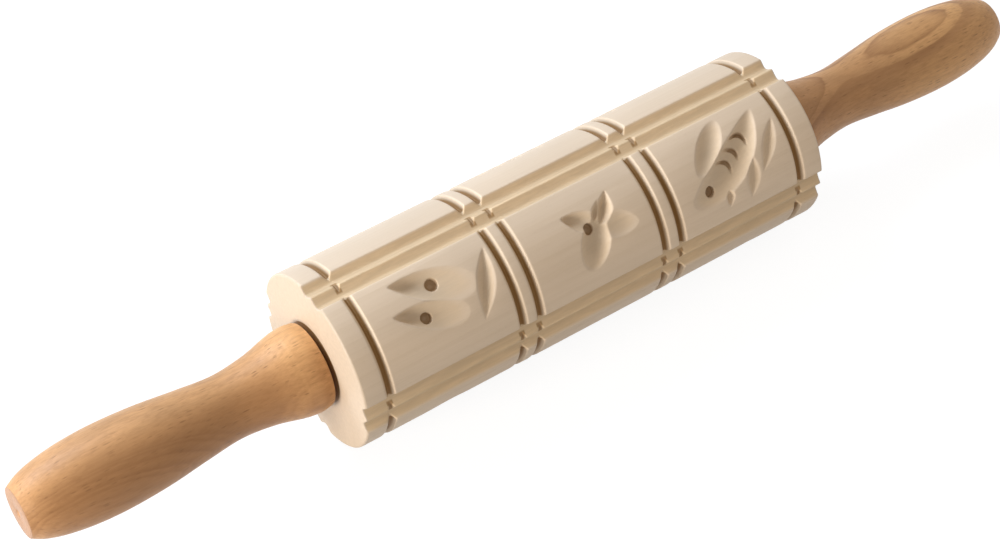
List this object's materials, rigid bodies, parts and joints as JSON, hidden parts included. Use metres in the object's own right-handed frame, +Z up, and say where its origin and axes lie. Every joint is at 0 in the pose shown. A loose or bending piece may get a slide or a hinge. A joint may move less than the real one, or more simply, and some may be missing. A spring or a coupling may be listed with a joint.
{
  "type": "cookie rolling pin",
  "caption": "Rolling pin for pressed biscuits: a carved wooden barrel with grooves and panels turns on an axle between two turned wooden handles.",
  "frame": {"origin": "middle of the pin on its long axis, halfway between the inner faces of the two handles; the centre of the bounding box", "axes": "+X along the pin towards the right-hand handle, +Z up through a double groove of the barrel, -Y towards the viewer's side"},
  "size_m": [0.3838, 0.0588, 0.0588],
  "materials": {
    "linden": "bare, fine-sanded pale wood",
    "beech": "oiled, satin",
    "steel": "drawn bright rod",
    "nylon": "matte, dark"
  },
  "bodies": {
    "spindle": {"axle": "steel", "handle_left": "beech", "handle_right": "beech"},
    "roller": {"barrel": "linden", "bush_left": "nylon", "bush_right": "nylon"}
  },
  "joints": [
    {"name": "barrel_spin", "type": "hinge", "parent": "spindle", "child": "roller", "pos_m": [0, 0, 0], "axis": [1, 0, 0], "continuous": true}
  ]
}
